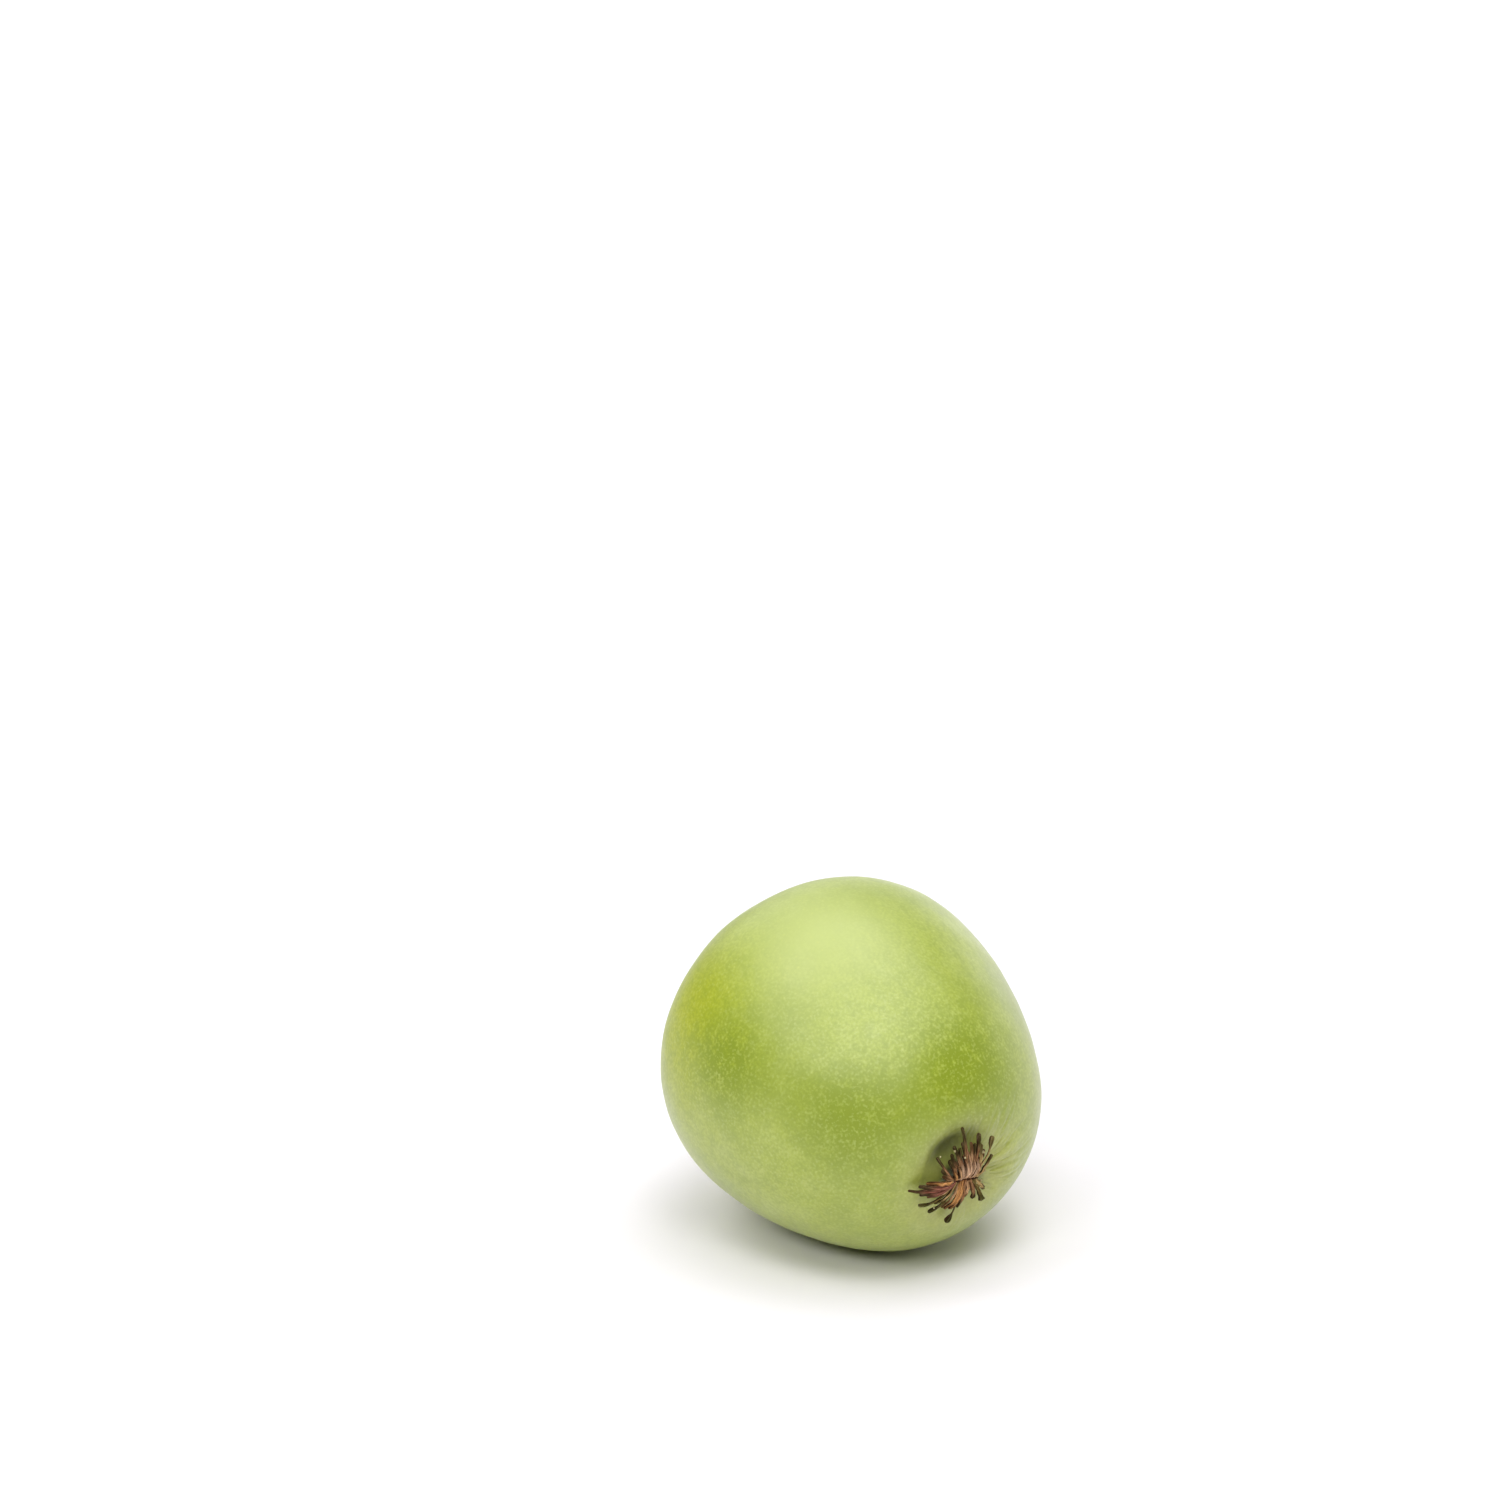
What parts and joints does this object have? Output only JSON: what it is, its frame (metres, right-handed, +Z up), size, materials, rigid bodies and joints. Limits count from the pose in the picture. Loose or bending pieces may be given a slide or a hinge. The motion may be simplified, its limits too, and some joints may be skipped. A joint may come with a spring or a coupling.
{
  "type": "kiwi berry",
  "caption": "Small egg-shaped smooth green fruit lying on its side, with a dried brown tuft of styles in a creased dimple at one end and a stalk scar at the other.",
  "frame": {"origin": "middle of the small flat spot that the fruit lies on", "axes": "+X along the fruit towards its style end, level; +Z up, away from the surface that the fruit lies on"},
  "size_m": [0.0279, 0.0259, 0.0251],
  "materials": {
    "skin": "smooth waxy green fruit skin with a soft sheen and fine pale speckles",
    "dried_styles": "dry fibrous reddish brown with dark tips"
  },
  "bodies": {
    "root": {"berry": "skin", "style_tuft": "dried_styles"}
  },
  "joints": []
}
